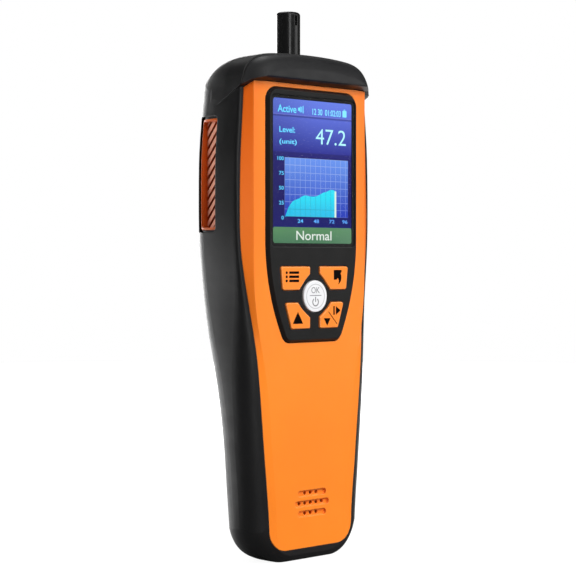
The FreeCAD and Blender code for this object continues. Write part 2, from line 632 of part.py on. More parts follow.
OK_C = (0.0, 106.85)
OK_R = 6.45
KEYS = {
    "menu_key": ([(-18.5, 118.9), (-2.66, 118.9), (-2.66, 115.9), (-4.9, 113.9), (-7.0, 111.4), (-8.6, 109.5), (-17.5, 109.5)],
                 [1.0, 0.7, 0.6, 6.0, 4.0, 0.7, 1.0], (-11.5, 114.3)),
    "back_key": ([(2.66, 118.9), (18.5, 118.9), (17.5, 109.5), (8.6, 109.5), (7.0, 111.4), (4.9, 113.9), (2.66, 115.9)],
                 [0.7, 1.0, 1.0, 0.7, 4.0, 6.0, 0.6], (11.5, 114.3)),
    "up_key": ([(-16.1, 104.4), (-9.2, 104.4), (-7.4, 102.2), (-5.2, 100.3), (-2.66, 98.3), (-2.66, 93.9), (-12.8, 93.9)],
               [1.0, 0.7, 4.0, 6.0, 0.6, 0.7, 1.0], (-9.6, 98.2)),
    "down_key": ([(9.2, 104.4), (16.1, 104.4), (12.8, 93.9), (2.66, 93.9), (2.66, 98.3), (5.2, 100.3), (7.4, 102.2)],
                 [0.7, 1.0, 1.0, 0.7, 0.6, 6.0, 4.0], (9.6, 98.2)),
}


def key_slab(name, grow, y0, y1):
    if name == "ok_key":
        return cyl(OK_R + grow, (OK_C[0], y0, OK_C[1]), (0, 1, 0), y1 - y0)
    pts, rad, c = KEYS[name]
    w = rounded_wire(pts, rad, y0)
    if grow:
        w = w.makeOffset2D(grow, 0, False, False, False)
        if w.ShapeType != "Wire":
            w = w.Wires[0]
    return Part.Face(w).extrude(V(0, y1 - y0, 0))


def key_centre(name):
    return OK_C if name == "ok_key" else KEYS[name][2]


ALL_KEYS = ["menu_key", "back_key", "up_key", "down_key", "ok_key"]
# room for the key flanges behind the panel face
panel = panel.cut(panel_slab(2.4, 1.2, 5).common(box(-60, 60, 0, 6, 88, 122.6)))
for name in ALL_KEYS:
    panel = panel.cut(key_slab(name, KEY_GAP, -3, 4))
put("bezel_panel", panel)

FLANGE_Y0, FLANGE_Y1 = 1.3, 2.0
for name in ALL_KEYS:
    front = KEY_FRONT - (0.15 if name == "ok_key" else 0.0)
    k = key_slab(name, 0.0, front, FLANGE_Y1)
    edges = [e for e in k.Edges if abs(e.BoundBox.YMin - front) < 1e-3 and abs(e.BoundBox.YMax - front) < 1e-3]
    k = k.makeChamfer(0.28, edges)
    k = k.fuse(key_slab(name, 0.62, FLANGE_Y0, FLANGE_Y1))
    cx, cz = key_centre(name)
    k = k.removeSplitter()
    put(name, k)

# ---------------------------------------------------------------- window and display
win = slab_y(rect(-WX - 1.38, WX + 1.38, WZ0 - 1.48, WZ1 + 1.38), 1.7, -0.32, 0.13)
put("screen_window", win)
lcd = slab_y(rect(-WX - 0.08, WX + 0.08, WZ0 - 0.08, WZ1 + 0.08), 1.5, LCD_FRONT, 0.6)
lcd = lcd.fuse(box(-23.1, 23.1, 0.5, 2.9, 126.6, 188.1))
put("lcd_module", lcd.removeSplitter())

# ---------------------------------------------------------------- keypad mat, switches, board
mat = slab_y(rect(-19.5, 19.5, 91.5, 121.5), 2.0, 3.45, 4.1)
for name in ALL_KEYS:
    cx, cz = key_centre(name)
    mat = mat.fuse(cyl(2.4, (cx, 2.72, cz), (0, 1, 0), 0.9))
    mat = mat.fuse(cyl(1.5, (cx, 4.0, cz), (0, 1, 0), 0.3))
put("keypad_mat", mat.removeSplitter())

sw = []
for name in ALL_KEYS:
    cx, cz = key_centre(name)
    s = box(cx - 3, cx + 3, 5.0, PCB_Y, cz - 3, cz + 3).fuse(cyl(1.6, (cx, 4.45, cz), (0, 1, 0), 0.8)).removeSplitter()
    sw.append(s)
put("key_switches", Part.makeCompound(sw))

PCB_T = 1.6
pcb_pts = [(-21.5, 41), (21.5, 41), (22.5, 84), (29.5, 116), (30.0, 181), (-30.0, 181), (-29.5, 116), (-22.5, 84)]
pcb = slab_y(pcb_pts, 1.5, PCB_Y, PCB_Y + PCB_T)
for sx, sz in BOARD_SCREWS:
    pcb = pcb.cut(cyl(1.1, (sx, 0, sz), (0, 1, 0), 20))
put("main_board", pcb)
scr = []
for sx, sz in BOARD_SCREWS:
    h = cyl(1.9, (sx, PCB_Y + PCB_T, sz), (0, 1, 0), 1.2)
    h = h.fuse(cyl(0.8, (sx, 3.2, sz), (0, 1, 0), PCB_Y + PCB_T - 3.2 + 0.2))
    h = h.cut(box(sx - 0.25, sx + 0.25, PCB_Y + PCB_T + 0.6, 20, sz - 1.2, sz + 1.2)).cut(box(sx - 1.2, sx + 1.2, PCB_Y + PCB_T + 0.6, 20, sz - 0.25, sz + 0.25))
    scr.append(h.removeSplitter())
put("board_screws", Part.makeCompound(scr))

# display ribbon, from the back of the display to the board
rib = prism_x([(2.98, 134), (3.2, 134), (3.2, 125.4), (5.75, 123.3), (5.75, 121.9), (5.5, 121.9), (5.5, 123.1), (2.98, 125.2)], -7, 7)
put("display_ribbon", rib)

# ---------------------------------------------------------------- speaker
SPK = (0.0, 22.9)
gask = cyl(12.0, (0, 3.3, SPK[1]), (0, 1, 0), 1.0).cut(cyl(10.2, (0, 3.0, SPK[1]), (0, 1, 0), 2.0))
put("speaker_gasket", gask)
spk = cyl(12.0, (0, 4.3, SPK[1]), (0, 1, 0), 2.4).fuse(cyl(9.0, (0, 6.5, SPK[1]), (0, 1, 0), 3.0))
spk = spk.cut(Part.makeCone(9.8, 4.0, 1.7, V(0, 4.29, SPK[1]), V(0, 1, 0)))
put("speaker", spk.removeSplitter())

# ---------------------------------------------------------------- inlet tube, seal, hose
tube = cyl(TUBE_R, (0, TUBE_Y, TUBE_FREE), (0, 0, 1), TUBE_TOP - TUBE_FREE)
top_e = [e for e in tube.Edges if e.BoundBox.ZMin > TUBE_TOP - 0.1]
tube = tube.makeFillet(1.3, top_e)
tube = tube.fuse(cyl(TUBE_SEAT, (0, TUBE_Y, 196.6), (0, 0, 1), TUBE_FREE - 196.6 + 0.5))
tube = tube.fuse(cyl(3.0, (0, TUBE_Y, 189.0), (0, 0, 1), 8.0))
tube = tube.cut(cyl(TUBE_BORE, (0, TUBE_Y, 199.0), (0, 0, 1), 40)).cut(cyl(2.0, (0, TUBE_Y, 180.0), (0, 0, 1), 40))
tube = tube.cut(box(-0.62, 0.62, TUBE_Y - 8, TUBE_Y + 8, TUBE_TOP - 5.6, TUBE_TOP - 1.5))
tube = tube.removeSplitter()
put("inlet_tube", tube)
ring = Part.makeTorus(5.49, 0.81, V(0, TUBE_Y, 202.05), V(0, 0, 1))
put("inlet_seal", ring)
hose = cyl(4.2, (0, TUBE_Y, 172.6), (0, 0, 1), 22.8).cut(cyl(3.03, (0, TUBE_Y, 170.0), (0, 0, 1), 40))
put("inlet_hose", hose)

# ---------------------------------------------------------------- particle sensor
SX, SY0, SY1, SZ0, SZ1 = 25.0, 10.0, 30.2, 134.0, 172.0
FAN_X, FAN_Z = -11.5, 153.0
case = box(-SX, SX, SY0, SY1, SZ0, SZ1)
case = case.cut(box(-SX + 1.5, 1.5, SY0 + 1.8, SY1 + 1, SZ0 + 1.5, SZ1 - 1.5))
case = case.cut(box(3.0, SX - 1.5, SY0 + 1.8, SY1 + 1, SZ0 + 1.5, SZ1 - 1.5))
case = case.cut(box(1.0, 4.0, SY0 + 6, SY1 - 4, SZ0 + 6, SZ0 + 12))
case = case.cut(box(-SX - 1, -SX + 2, 14.0, 26.0, 143.0, 163.0))
case = case.cut(cyl(2.0, (8.0, 20.0, SZ1 - 3), (0, 0, 1), 6))
# inlet spigot above the optical chamber
spig = cyl(3.0, (0, TUBE_Y, SZ1 - 1.0), (0, 0, 1), 7.0)
case = case.fuse(spig)
case = case.cut(cyl(2.0, (0, TUBE_Y, SZ1 - 1.4), (0, 0, 1), 12)) 
case = case.removeSplitter()
put("sensor_case", case)
lid = box(-SX, SX, SY1 + 0.02, SY1 + 1.3, SZ0, SZ1)
put("sensor_lid", lid)
shaft = cyl(1.0, (FAN_X, SY0 + 1.8, FAN_Z), (0, 1, 0), 15.5).fuse(cyl(3.6, (FAN_X, SY0 + 1.8, FAN_Z), (0, 1, 0), 2.6))
put("fan_shaft", shaft.removeSplitter())
FY0 = SY0 + 5.2
rotor = cyl(4.2, (FAN_X, FY0, FAN_Z), (0, 1, 0), 10.0)
rotor = rotor.fuse(cyl(9.6, (FAN_X, FY0, FAN_Z), (0, 1, 0), 0.9))
for i in range(11):
    bl = box(FAN_X + 6.6, FAN_X + 9.6, FY0 + 0.5, FY0 + 9.0, FAN_Z - 0.35, FAN_Z + 0.35)
    bl.rotate(V(FAN_X + 8.1, 0, FAN_Z), V(0, 1, 0), 35)
    bl.rotate(V(FAN_X, 0, FAN_Z), V(0, 1, 0), i * 360.0 / 11)
    rotor = rotor.fuse(bl)
rotor = rotor.cut(cyl(1.05, (FAN_X, 0, FAN_Z), (0, 1, 0), 60)).removeSplitter()
put("fan_rotor", rotor)

# ---------------------------------------------------------------- gas sensor
co2 = box(-16.5, 16.5, 10.0, 20.5, 108.5, 128.5)
co2 = co2.cut(box(-12, -2, 18.9, 30, 112, 125)).fuse(box(-14, 14, 9.2, 10.1, 110, 111.6)).removeSplitter()
co2 = co2.cut(box(4, 13, 18.9, 30, 112, 125))
put("co2_sensor", co2)

# ---------------------------------------------------------------- battery
bat = box(-21, 21, 9.7, 20.7, 44.5, 102.5)
bat = bat.makeFillet(2.0, [e for e in bat.Edges if abs(e.BoundBox.XMax - e.BoundBox.XMin) > 30])
put("battery_pack", bat)
put("battery_pad", box(-15, 15, 20.72, 22.2, 50, 96))


def wire_path(pts, r):
    parts = []
    for p, q in zip(pts, pts[1:]):
        d = V(*q) - V(*p)
        parts.append(Part.makeCylinder(r, d.Length, V(*p), d))
    for p in pts[1:-1]:
        parts.append(Part.makeSphere(r, V(*p)))
    s = parts[0]
    for p in parts[1:]:
        s = s.fuse(p)
    return s.removeSplitter()


leads = [wire_path([(x, 15.0, 102.55), (x, 15.0, 105.4), (x, PCB_Y + PCB_T + 0.02, 105.4)], 0.55) for x in (-9.0, -7.0)]
put("battery_lead", Part.makeCompound(leads))

# ---------------------------------------------------------------- charging socket in the foot
CH_Y = 13.0
sock = box(-4.6, 4.6, CH_Y - 1.75, CH_Y + 1.75, 0.7, 8.4)
cavity = Part.Face(Part.Wire([line((-2.7, CH_Y - 1.3, 0), (2.7, CH_Y - 1.3, 0)),
                              Part.Arc(V(2.7, CH_Y - 1.3, 0), V(4.0, CH_Y, 0), V(2.7, CH_Y + 1.3, 0)).toShape(),
                              line((2.7, CH_Y + 1.3, 0), (-2.7, CH_Y + 1.3, 0)),
                              Part.Arc(V(-2.7, CH_Y + 1.3, 0), V(-4.0, CH_Y, 0), V(-2.7, CH_Y - 1.3, 0)).toShape()])).extrude(V(0, 0, 7.2))
sock = sock.cut(cavity).fuse(box(-3.0, 3.0, CH_Y - 0.35, CH_Y + 0.35, 1.6, 7.6)).removeSplitter()
put("charge_socket", sock)
put("charge_board", box(-9.0, 9.0, CH_Y + 1.77, CH_Y + 2.97, 3.2, 20.0))

# ---------------------------------------------------------------- housing screws
hs = []
for sx, sz in SCREWS:
    h = cyl(2.3, (sx, 9.02, sz), (0, 1, 0), 1.8).fuse(cyl(1.0, (sx, 3.0, sz), (0, 1, 0), 6.2))
    h = h.cut(box(sx - 0.3, sx + 0.3, 10.0, 20, sz - 1.4, sz + 1.4)).cut(box(sx - 1.4, sx + 1.4, 10.0, 20, sz - 0.3, sz + 0.3))
    hs.append(h.removeSplitter())
put("housing_screws", Part.makeCompound(hs))

# ---------------------------------------------------------------- side louvres
TRAY_T = 0.9


def louvre(sg):
    outer_limit = body_loft(1.0).common(box(-60, 60, -10, 60, 120, 190))
    wall_limit = body_loft(WALL + 0.12).common(box(-60, 60, -10, 60, 120, 190))
    flange_in = body_loft(WALL + 1.1).common(box(-60, 60, -10, 60, 120, 190))
    t = louvre_cut(sg, -0.15, 28.2, 45.0).common(outer_limit)
    t = t.cut(louvre_cut(sg, -0.15 - TRAY_T, 28.0, 50.0))
    fl = louvre_cut(sg, 1.3, 29.0, 45.0).common(wall_limit).cut(flange_in).cut(louvre_cut(sg, -0.3, 20.0, 50.0))
    t = t.fuse(fl)
    # slats in the floor of the tray
    opening = louvre_cut(sg, -0.15 - TRAY_T + 0.1, 29.6 - SLAT_T, 29.6)
    z = VENT_Z0 - 28.0
    while z < VENT_Z1 + 28.0:
        ln = 80.0
        b = Part.makeBox(SLAT_T, ln, SLAT_W, V(29.6 - SLAT_T if sg > 0 else -29.6, -ln / 2.0, -SLAT_W / 2.0))
        b.rotate(V(0, 0, 0), V(1, 0, 0), -SLAT_ANGLE)
        b.translate(V(0, 24.7, z))
        piece = b.common(opening)
        if piece.Volume > 0.3:
            t = t.fuse(piece)
        z += SLAT_PITCH
    return t.removeSplitter()


for nm, sg in (("left_vent_grille", -1), ("right_vent_grille", 1)):
    g = louvre(sg)
    put(nm, g)
    x0, x1 = (27.75, 28.15) if sg > 0 else (-28.15, -27.75)
    put(nm.replace("grille", "mesh"), box(x0, x1, VENT_Y0 + 0.2, VENT_Y1 - 1.6, VENT_Z0 - 0.5, VENT_Z1 + 0.5))

# ---------------------------------------------------------------- write the nodes
for name, shape in NODES.items():
    if len(shape.Solids) == 1 and shape.ShapeType != "Solid":
        shape = shape.Solids[0]
    s = shape.copy()
    s.translate(V(0, -Y_MID, 0))
    s.exportStep("parts/%s.step" % name)
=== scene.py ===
import json
import math
import bmesh
import bpy
from mathutils import Matrix, Vector


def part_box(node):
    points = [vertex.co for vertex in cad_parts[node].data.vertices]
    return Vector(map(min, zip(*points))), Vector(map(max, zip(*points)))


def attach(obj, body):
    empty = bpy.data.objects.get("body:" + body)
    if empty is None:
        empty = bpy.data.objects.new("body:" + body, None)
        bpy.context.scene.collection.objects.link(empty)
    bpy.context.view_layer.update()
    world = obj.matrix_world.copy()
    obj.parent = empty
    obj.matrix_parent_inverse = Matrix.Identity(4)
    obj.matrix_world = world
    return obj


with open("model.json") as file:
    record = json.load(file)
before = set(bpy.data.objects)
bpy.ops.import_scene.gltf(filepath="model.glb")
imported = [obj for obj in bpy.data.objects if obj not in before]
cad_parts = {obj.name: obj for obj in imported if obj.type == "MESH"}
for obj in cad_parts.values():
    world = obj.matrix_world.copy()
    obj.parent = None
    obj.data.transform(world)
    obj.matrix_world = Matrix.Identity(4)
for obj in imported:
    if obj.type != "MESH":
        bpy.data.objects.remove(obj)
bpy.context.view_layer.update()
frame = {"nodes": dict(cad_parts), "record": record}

NODES = frame["nodes"]
MM = 0.001


# ---------------------------------------------------------------- colour and node helpers
def lin(r, g, b, k=1.0):
    """sRGB 0..255 to linear."""
    out = []
    for c in (r, g, b):
        c = c / 255.0
        out.append(k * (c / 12.92 if c <= 0.04045 else ((c + 0.055) / 1.055) ** 2.4))
    return (out[0], out[1], out[2], 1.0)


class Shade:
    """Small node builder: every call returns an output socket."""

    def __init__(self, name):
        self.m = bpy.data.materials.new(name)
        self.m.use_nodes = True
        self.nt = self.m.node_tree
        self.nt.nodes.clear()
        self.out = self.nt.nodes.new("ShaderNodeOutputMaterial")
        self.p = self.nt.nodes.new("ShaderNodeBsdfPrincipled")
        self.nt.links.new(self.p.outputs["BSDF"], self.out.inputs["Surface"])
        self.tc = self.nt.nodes.new("ShaderNodeTexCoord")
        self._xyz = None

    def put(self, socket, value):
        if hasattr(value, "links"):
            self.nt.links.new(value, socket)
        else:
            socket.default_value = value

    def set(self, **kw):
        for k, v in kw.items():
            self.put(self.p.inputs[k.replace("_", " ")], v)

    @property
    def obj(self):
        return self.tc.outputs["Object"]

    def xyz(self):
        """Object coordinates in millimetres as three sockets."""
        if self._xyz is None:
            sc = self.nt.nodes.new("ShaderNodeVectorMath")
            sc.operation = "SCALE"
            sc.inputs["Scale"].default_value = 1000.0
            self.nt.links.new(self.obj, sc.inputs[0])
            s = self.nt.nodes.new("ShaderNodeSeparateXYZ")
            self.nt.links.new(sc.outputs[0], s.inputs[0])
            self._xyz = (s.outputs[0], s.outputs[1], s.outputs[2])
        return self._xyz

    def math(self, op, a, b=0.0, c=0.0, clamp=False):
        n = self.nt.nodes.new("ShaderNodeMath")
        n.operation = op
        n.use_clamp = clamp
        for i, v in enumerate((a, b, c)):
            if i < len(n.inputs):
                self.put(n.inputs[i], v)
        return n.outputs[0]

    def rng(self, v, a, b, c=0.0, d=1.0, kind="SMOOTHSTEP"):
        n = self.nt.nodes.new("ShaderNodeMapRange")
        n.interpolation_type = kind
        n.clamp = True
        self.put(n.inputs["Value"], v)
        n.inputs["From Min"].default_value = a
        n.inputs["From Max"].default_value = b
        n.inputs["To Min"].default_value = c
        n.inputs["To Max"].default_value = d
        return n.outputs[0]

    def mix(self, f, a, b, blend="MIX"):
        n = self.nt.nodes.new("ShaderNodeMix")
        n.data_type = "RGBA"
        n.blend_type = blend
        n.clamp_factor = True
        self.put(n.inputs[0], f)
        self.put(n.inputs[6], a)
        self.put(n.inputs[7], b)
        return n.outputs[2]

    def noise(self, scale, detail=2.0, rough=0.5, stretch=None):
        n = self.nt.nodes.new("ShaderNodeTexNoise")
        n.inputs["Scale"].default_value = scale
        n.inputs["Detail"].default_value = detail
        n.inputs["Roughness"].default_value = rough
        src = self.obj
        if stretch:
            v = self.nt.nodes.new("ShaderNodeVectorMath")
            v.operation = "MULTIPLY"
            v.inputs[1].default_value = stretch
            self.nt.links.new(src, v.inputs[0])
            src = v.outputs[0]
        self.nt.links.new(src, n.inputs["Vector"])
        return n.outputs["Fac"]

    def voronoi(self, scale, feature="F1"):
        n = self.nt.nodes.new("ShaderNodeTexVoronoi")
        n.feature = feature
        n.inputs["Scale"].default_value = scale
        self.nt.links.new(self.obj, n.inputs["Vector"])
        return n.outputs["Distance"]

    def band(self, v, lo, hi, soft=0.05):
        """1 inside lo..hi."""
        a = self.rng(v, lo - soft, lo + soft)
        b = self.rng(v, hi - soft, hi + soft, 1.0, 0.0)
        return self.math("MULTIPLY", a, b)

    def bevel(self, radius):
        n = self.nt.nodes.new("ShaderNodeBevel")
        n.samples = 6
        n.inputs["Radius"].default_value = radius
        return n.outputs["Normal"]

    def edge(self, normal):
        """0 on flat faces, rising on edges, from a rounded normal."""
        g = self.nt.nodes.new("ShaderNodeNewGeometry")
        d = self.nt.nodes.new("ShaderNodeVectorMath")
        d.operation = "DOT_PRODUCT"
        self.nt.links.new(g.outputs["Normal"], d.inputs[0])
        self.nt.links.new(normal, d.inputs[1])
        return self.rng(d.outputs["Value"], 0.995, 0.86)

    def bump(self, height, strength, dist, normal=None):
        n = self.nt.nodes.new("ShaderNodeBump")
        n.inputs["Strength"].default_value = strength
        n.inputs["Distance"].default_value = dist
        self.nt.links.new(height, n.inputs["Height"])
        if normal is not None:
            self.nt.links.new(normal, n.inputs["Normal"])
        return n.outputs["Normal"]


def moulded(name, col, rough, grain=4200.0, grain_h=0.00002, grain_k=0.35, vary=0.10, bevel=0.0003,
            edge_highlight_col=None, edge_highlight_k=0.5, spec=0.5, coat=0.0, light_paint=None):
    """Injection-moulded plastic: faint flow variation, spark-eroded grain, softened edges with a painted highlight
    along them.
    """
    s = Shade(name)
    cloud = s.noise(28.0, 3.0, 0.55)
    fine = s.noise(900.0, 2.0, 0.6)
    dark = tuple(c * (1.0 - vary) for c in col[:3]) + (1.0,)
    light = tuple(min(1.0, c * (1.0 + vary)) for c in col[:3]) + (1.0,)
    base = s.mix(s.rng(cloud, 0.3, 0.7), dark, light)
    base = s.mix(s.math("MULTIPLY", s.rng(fine, 0.45, 0.75), 0.25), base, dark)
    # painted light and shade from the given function, mixed into the colour
    if light_paint is not None:
        base = light_paint(s, base)
    nrm = s.bevel(bevel) if bevel else None
    # painted highlight: a lighter colour mixed in along the rounded edges
    if nrm is not None and edge_highlight_col is not None:
        e = s.math("MULTIPLY", s.edge(nrm), edge_highlight_k)
        base = s.mix(e, base, edge_highlight_col)
    s.set(Base_Color=base)
    r = s.rng(s.noise(160.0, 3.0, 0.6), 0.25, 0.8, rough - 0.05, rough + 0.06)
    s.set(Roughness=r)
    s.p.inputs["Specular IOR Level"].default_value = spec
    if coat:
        s.p.inputs["Coat Weight"].default_value = coat
        s.p.inputs["Coat Roughness"].default_value = 0.22
    grains = s.voronoi(grain)
    s.set(Normal=s.bump(grains, grain_k, grain_h, nrm))
    return s.m


def metal(name, col, rough, brushed=False):
    s = Shade(name)
    wear = s.noise(420.0, 4.0, 0.65, (1.0, 1.0, 14.0) if brushed else None)
    dark = tuple(c * 0.72 for c in col[:3]) + (1.0,)
    s.set(Base_Color=s.mix(s.rng(wear, 0.35, 0.7), dark, col))
    s.p.inputs["Metallic"].default_value = 1.0
    s.set(Roughness=s.rng(wear, 0.3, 0.8, rough - 0.08, rough + 0.12))
    s.set(Normal=s.bump(wear, 0.12, 0.00003, s.bevel(0.00015)))
    return s.m


# ---------------------------------------------------------------- materials
M = {}


def shell_painted_sheen(s, base):
    """Painted sheen: the rear half is painted a shade greyer towards the back, and the very top a touch lighter."""
    x, y, z = s.xyz()
    # painted sheen, growing towards the back
    back = s.rng(y, -6.0, 14.0)
    base = s.mix(s.math("MULTIPLY", back, 0.55), base, lin(34, 34, 35))
    top = s.rng(z, 196.0, 205.0)
    return s.mix(s.math("MULTIPLY", top, 0.3), base, lin(24, 24, 25))


M["shell_black"] = moulded("shell_black", lin(20, 20, 21), 0.42, 3600.0, 0.00003, 0.40, 0.12, 0.0004,
                           lin(64, 62, 61), 0.5, 0.45, light_paint=shell_painted_sheen)


def cover_painted_shade(s, base):
    """Painted shade: the chamfers are painted a darker orange, more so towards the top of the left and right edges."""
    x, y, z = s.xyz()
    ax = s.math("ABSOLUTE", x)
    high = s.rng(z, 60.0, 195.0)
    # distance behind the flat facet
    deep = s.rng(y, -15.5, -13.6)
    k = s.math("MULTIPLY", deep, s.math("ADD", 0.16, s.math("MULTIPLY", high, 0.56)))
    # painted shade on the chamfers
    base = s.mix(k, base, lin(222, 84, 14))
    return base


M["cover_orange"] = moulded("cover_orange", lin(250, 134, 35), 0.38, 5200.0, 0.000010, 0.22, 0.035, 0.00045,
                            lin(255, 176, 100), 0.5, 0.28, coat=0.06, light_paint=cover_painted_shade)
M["cap_black"] = moulded("cap_black", lin(28, 28, 29), 0.48, 3800.0, 0.00003, 0.35, 0.10, 0.0005,
                         lin(80, 79, 78), 0.5, 0.5)
M["panel_black"] = moulded("panel_black", lin(26, 26, 26), 0.5, 3000.0, 0.00002, 0.25, 0.08, 0.0003,
                           lin(88, 88, 88), 0.4, 0.22)
M["key_orange"] = moulded("key_orange", lin(250, 134, 38), 0.42, 5000.0, 0.00001, 0.2, 0.03, 0.0003,
                          lin(255, 214, 168), 1.0, 0.35)


def ok_painted_groove_shade(s, base):
    """Grey ring painted round the middle of the round key as the shade in its shallow groove."""
    x, y, z = s.xyz()
    dx = s.math("MULTIPLY", x, x)
    dz = s.math("SUBTRACT", z, OK_Z)
    r = s.math("SQRT", s.math("ADD", dx, s.math("MULTIPLY", dz, dz)))
    # painted groove shade
    ring = s.band(r, 4.75, 5.05, 0.14)
    return s.mix(s.math("MULTIPLY", ring, 0.8), base, lin(160, 160, 163))


lo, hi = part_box("ok_key")
OK_Z = (lo.z + hi.z) / 2 / MM
M["key_white"] = moulded("key_white", lin(228, 228, 230), 0.36, 5200.0, 0.00001, 0.15, 0.015, 0.0003,
                         lin(252, 252, 252), 0.5, 0.4, light_paint=ok_painted_groove_shade)
def louvre_painted_highlight(s, base):
    """The outer faces of the slats get a pale pink painted highlight, mottled by noise, and the tray and the rim stay
    deep orange.
    """
    x, y, z = s.xyz()
    ax = s.math("ABSOLUTE", x)
    # painted highlight on the outer slat faces
    face = s.band(ax, 29.52, 29.70, 0.03)
    highlight_mottle = s.noise(340.0, 4.0, 0.65)
    return s.mix(s.math("MULTIPLY", face, s.rng(highlight_mottle, 0.2, 0.7, 0.8, 1.0)), base, lin(255, 190, 162))


M["louvre_orange"] = moulded("louvre_orange", lin(206, 92, 22), 0.45, 4600.0, 0.00002, 0.3, 0.10, 0.00025,
                             lin(236, 150, 118), 0.8, 0.35, light_paint=louvre_painted_highlight)
SLAT_OUT = 31.5


def slat_painted_light(s, base):
    """Painted highlight, mottled by noise, on the outer edges of the louvre blades, and painted shade in darker orange
    down between them.
    """
    x, y, z = s.xyz()
    ax = s.math("ABSOLUTE", x)
    face = s.band(ax, SLAT_OUT - 0.04, SLAT_OUT + 0.2, 0.03)
    highlight_mottle = s.noise(340.0, 4.0, 0.65)
    # painted shade, darker towards the inside between the blades
    low = s.mix(s.rng(ax, SLAT_OUT - 2.2, SLAT_OUT - 0.2, 0.85, 0.0), base, lin(64, 22, 6))
    # painted highlight on the outer edges
    return s.mix(s.math("MULTIPLY", face, s.rng(highlight_mottle, 0.2, 0.7, 0.8, 1.0)), low, lin(255, 190, 162))


M["louvre_blade"] = moulded("louvre_blade", lin(190, 84, 24), 0.5, 4600.0, 0.00002, 0.3, 0.10, 0.0001,
                            None, 0.8, 0.35, light_paint=slat_painted_light)
M["tube_black"] = moulded("tube_black", lin(20, 20, 20), 0.24, 4200.0, 0.00001, 0.18, 0.08, 0.0004,
                          lin(90, 90, 90), 0.5, 0.5)
M["rubber_black"] = moulded("rubber_black", lin(22, 22, 23), 0.75, 2600.0, 0.00003, 0.4, 0.15, 0.0003)
M["silicone_grey"] = moulded("silicone_grey", lin(150, 152, 150), 0.6, 2600.0, 0.00002, 0.3, 0.06, 0.0003)
M["fan_black"] = moulded("fan_black", lin(26, 26, 28), 0.45, 4000.0, 0.00002, 0.3, 0.1, 0.0003)
M["speaker_black"] = moulded("speaker_black", lin(24, 24, 24), 0.7, 1800.0, 0.00004, 0.6, 0.15, 0.0002)
M["sensor_blue"] = moulded("sensor_blue", lin(32, 92, 170), 0.45, 4000.0, 0.00002, 0.3, 0.06, 0.0003,
                           lin(90, 150, 210), 0.4)
M["battery_wrap"] = moulded("battery_wrap", lin(62, 90, 128), 0.35, 1500.0, 0.00002, 0.2, 0.05, 0.0005)
M["foam_grey"] = moulded("foam_grey", lin(92, 92, 94), 0.95, 1400.0, 0.00012, 0.9, 0.18, None)
M["lead_red"] = moulded("lead_red", lin(176, 28, 24), 0.45, 3000.0, 0.00001, 0.2, 0.06, None)
M["switch_metal"] = metal("switch_metal", lin(190, 190, 192), 0.35)
M["screw_steel"] = metal("screw_steel", lin(150, 150, 152), 0.32, True)
M["sensor_lid_metal"] = metal("sensor_lid_metal", lin(176, 178, 180), 0.38, True)
M["socket_steel"] = metal("socket_steel", lin(172, 172, 174), 0.3, True)
M["gas_sensor_gold"] = metal("gas_sensor_gold", lin(206, 168, 92), 0.34)


def board():
    s = Shade("board_green")
    cells = s.voronoi(240.0, "DISTANCE_TO_EDGE")
    trace = s.band(cells, 0.02, 0.09, 0.01)
    base = s.mix(trace, lin(12, 62, 34), lin(28, 96, 54))
    pads = s.rng(s.voronoi(420.0), 0.12, 0.10)
    base = s.mix(pads, base, lin(190, 176, 130))
    s.set(Base_Color=base)
    s.set(Roughness=s.rng(s.noise(300.0, 3.0), 0.3, 0.7, 0.28, 0.42))
    s.set(Normal=s.bump(cells, 0.2, 0.00003, s.bevel(0.0002)))
    return s.m


def ribbon():
    s = Shade("ribbon_amber")
    x, y, z = s.xyz()
    lines = s.math("PINGPONG", x, 0.5)
    base = s.mix(s.band(lines, 0.12, 0.4, 0.04), lin(176, 104, 22), lin(120, 66, 14))
    s.set(Base_Color=base)
    s.set(Roughness=s.rng(s.noise(260.0, 2.0), 0.3, 0.7, 0.24, 0.36))
    s.set(Normal=s.bump(lines, 0.15, 0.00002))
    return s.m


def mesh_gauze():
    s = Shade("mesh_dark")
    x, y, z = s.xyz()
    a = s.math("PINGPONG", y, 0.35)
    b = s.math("PINGPONG", z, 0.35)
    wires = s.math("MAXIMUM", s.band(a, 0.0, 0.12, 0.03), s.band(b, 0.0, 0.12, 0.03))
    s.set(Base_Color=s.mix(wires, lin(14, 10, 9), lin(52, 34, 28)))
    s.set(Roughness=s.rng(s.noise(800.0, 2.0), 0.3, 0.7, 0.55, 0.7))
    s.set(Normal=s.bump(wires, 0.8, 0.0001))
    return s.m


def hose():
    s = Shade("hose_clear")
    n = s.noise(200.0, 3.0, 0.5)
    s.set(Base_Color=s.mix(s.rng(n, 0.3, 0.7), lin(196, 200, 198), lin(226, 228, 224)))
    s.set(Roughness=s.rng(n, 0.3, 0.7, 0.18, 0.3))
    s.p.inputs["Specular IOR Level"].default_value = 0.5
    s.set(Normal=s.bump(n, 0.1, 0.00002))
    return s.m


def window():
    """Thin hard-coated lens, dark-tinted and nearly clear all over."""
    s = Shade("window_clear")
    x, y, z = s.xyz()
    smear = s.noise(70.0, 4.0, 0.6)
    s.set(Roughness=s.rng(smear, 0.35, 0.75, 0.06, 0.12))
    s.p.inputs["Base Color"].default_value = (0.012, 0.012, 0.013, 1.0)
    s.p.inputs["Specular IOR Level"].default_value = 0.12
    s.p.inputs["Alpha"].default_value = 0.05
    s.set(Normal=s.bump(smear, 0.02, 0.00002, s.bevel(0.0002)))
    return s.m


# ---------------------------------------------------------------- the lit display
W_LO, W_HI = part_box("screen_window")
CX = (W_LO.x + W_HI.x) / 2 / MM
LX0, LX1 = W_LO.x / MM + 1.38, W_HI.x / MM - 1.38        # lit area
LZ0, LZ1 = W_LO.z / MM + 1.48, W_HI.z / MM - 1.38
